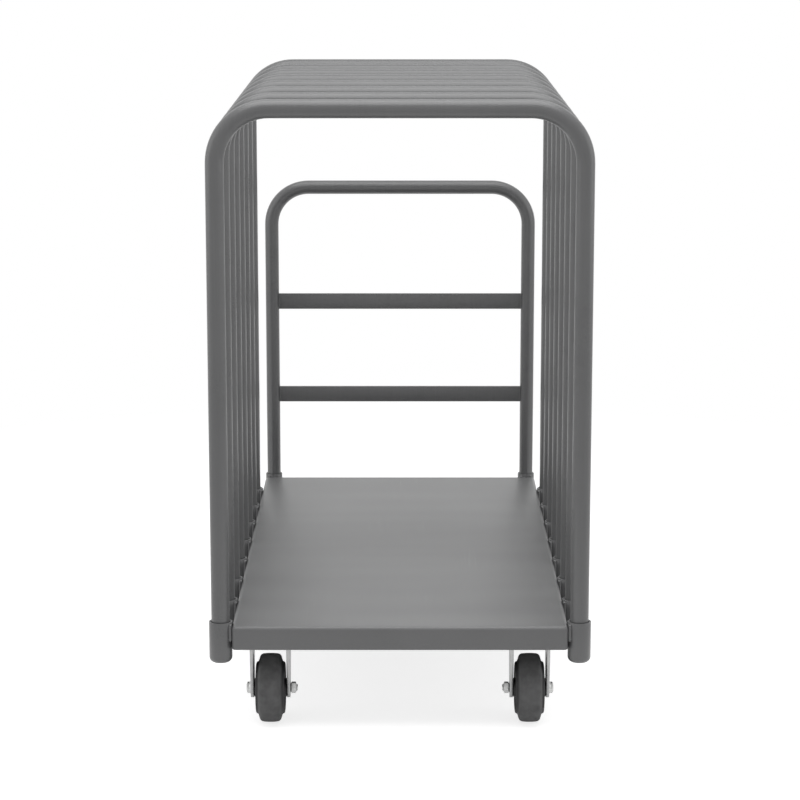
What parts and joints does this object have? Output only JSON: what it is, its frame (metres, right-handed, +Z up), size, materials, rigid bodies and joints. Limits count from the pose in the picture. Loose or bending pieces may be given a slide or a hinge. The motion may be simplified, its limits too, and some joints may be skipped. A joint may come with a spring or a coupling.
{
  "type": "sheet goods cart",
  "caption": "Steel platform cart for sheet goods: flat deck on rigid and swivel casters, upright tube hoops standing in side sockets as dividers, and a push handle at one end.",
  "frame": {"origin": "on the floor, under the middle of the cart's bounding box", "axes": "+X to the right across the cart, +Y lengthwise from the open end to the handle end, +Z up"},
  "size_m": [0.6946, 1.2566, 1.1532],
  "materials": {
    "grey_paint": "grey powder coat with a fine even texture",
    "zinc_steel": "bright zinc plate",
    "black_core": "black painted casting",
    "grey_rubber": "dark grey moulded rubber"
  },
  "bodies": {
    "cart_frame": {"deck_pan": "grey_paint", "front_bolster": "grey_paint", "rear_bolster": "grey_paint", "deck_stiffener": "grey_paint", "hoop_socket_left_1": "grey_paint", "hoop_socket_right_1": "grey_paint", "hoop_socket_left_2": "grey_paint", "hoop_socket_right_2": "grey_paint", "hoop_socket_left_3": "grey_paint", "hoop_socket_right_3": "grey_paint", "hoop_socket_left_4": "grey_paint", "hoop_socket_right_4": "grey_paint", "hoop_socket_left_5": "grey_paint", "hoop_socket_right_5": "grey_paint", "hoop_socket_left_6": "grey_paint", "hoop_socket_right_6": "grey_paint", "hoop_socket_left_7": "grey_paint", "hoop_socket_right_7": "grey_paint", "hoop_socket_left_8": "grey_paint", "hoop_socket_right_8": "grey_paint", "handle_socket_left": "grey_paint", "handle_socket_right": "grey_paint", "rigid_caster_frame_left": "zinc_steel", "axle_bolt_front_left": "zinc_steel", "axle_nut_front_left": "zinc_steel", "swivel_caster_plate_left": "zinc_steel", "swivel_kingpin_left": "zinc_steel", "rigid_caster_frame_right": "zinc_steel", "axle_bolt_front_right": "zinc_steel", "axle_nut_front_right": "zinc_steel", "swivel_caster_plate_right": "zinc_steel", "swivel_kingpin_right": "zinc_steel"},
    "divider_1": {"divider_hoop_1": "grey_paint"},
    "divider_2": {"divider_hoop_2": "grey_paint"},
    "divider_3": {"divider_hoop_3": "grey_paint"},
    "divider_4": {"divider_hoop_4": "grey_paint"},
    "divider_5": {"divider_hoop_5": "grey_paint"},
    "divider_6": {"divider_hoop_6": "grey_paint"},
    "divider_7": {"divider_hoop_7": "grey_paint"},
    "divider_8": {"divider_hoop_8": "grey_paint"},
    "handle": {"handle_tube": "grey_paint", "handle_bar_upper": "grey_paint", "handle_bar_lower": "grey_paint"},
    "wheel_front_left": {"tyre_front_left": "grey_rubber", "wheel_core_front_left": "black_core"},
    "swivel_left": {"swivel_caster_fork_left": "zinc_steel", "axle_bolt_rear_left": "zinc_steel", "axle_nut_rear_left": "zinc_steel"},
    "wheel_rear_left": {"tyre_rear_left": "grey_rubber", "wheel_core_rear_left": "black_core"},
    "wheel_front_right": {"tyre_front_right": "grey_rubber", "wheel_core_front_right": "black_core"},
    "swivel_right": {"swivel_caster_fork_right": "zinc_steel", "axle_bolt_rear_right": "zinc_steel", "axle_nut_rear_right": "zinc_steel"},
    "wheel_rear_right": {"tyre_rear_right": "grey_rubber", "wheel_core_rear_right": "black_core"}
  },
  "joints": [
    {"name": "divider_1_lift", "type": "slide", "parent": "cart_frame", "child": "divider_1", "axis": [0, 0, 1], "range_m": [0, 0.08]},
    {"name": "divider_2_lift", "type": "slide", "parent": "cart_frame", "child": "divider_2", "axis": [0, 0, 1], "range_m": [0, 0.08]},
    {"name": "divider_3_lift", "type": "slide", "parent": "cart_frame", "child": "divider_3", "axis": [0, 0, 1], "range_m": [0, 0.08]},
    {"name": "divider_4_lift", "type": "slide", "parent": "cart_frame", "child": "divider_4", "axis": [0, 0, 1], "range_m": [0, 0.08]},
    {"name": "divider_5_lift", "type": "slide", "parent": "cart_frame", "child": "divider_5", "axis": [0, 0, 1], "range_m": [0, 0.08]},
    {"name": "divider_6_lift", "type": "slide", "parent": "cart_frame", "child": "divider_6", "axis": [0, 0, 1], "range_m": [0, 0.08]},
    {"name": "divider_7_lift", "type": "slide", "parent": "cart_frame", "child": "divider_7", "axis": [0, 0, 1], "range_m": [0, 0.08]},
    {"name": "divider_8_lift", "type": "slide", "parent": "cart_frame", "child": "divider_8", "axis": [0, 0, 1], "range_m": [0, 0.08]},
    {"name": "handle_lift", "type": "slide", "parent": "cart_frame", "child": "handle", "axis": [0, 0, 1], "range_m": [0, 0.08]},
    {"name": "wheel_front_left_spin", "type": "hinge", "parent": "cart_frame", "child": "wheel_front_left", "pos_m": [-0.239, -0.54625, 0.0635], "axis": [1, 0, 0], "continuous": true},
    {"name": "swivel_left_turn", "type": "hinge", "parent": "cart_frame", "child": "swivel_left", "pos_m": [-0.239, 0.50895, 0.15], "axis": [0, 0, 1], "continuous": true},
    {"name": "wheel_rear_left_spin", "type": "hinge", "parent": "swivel_left", "child": "wheel_rear_left", "pos_m": [-0.239, 0.54695, 0.0635], "axis": [1, 0, 0], "continuous": true},
    {"name": "wheel_front_right_spin", "type": "hinge", "parent": "cart_frame", "child": "wheel_front_right", "pos_m": [0.239, -0.54625, 0.0635], "axis": [1, 0, 0], "continuous": true},
    {"name": "swivel_right_turn", "type": "hinge", "parent": "cart_frame", "child": "swivel_right", "pos_m": [0.239, 0.50895, 0.15], "axis": [0, 0, 1], "continuous": true},
    {"name": "wheel_rear_right_spin", "type": "hinge", "parent": "swivel_right", "child": "wheel_rear_right", "pos_m": [0.239, 0.54695, 0.0635], "axis": [1, 0, 0], "continuous": true}
  ]
}
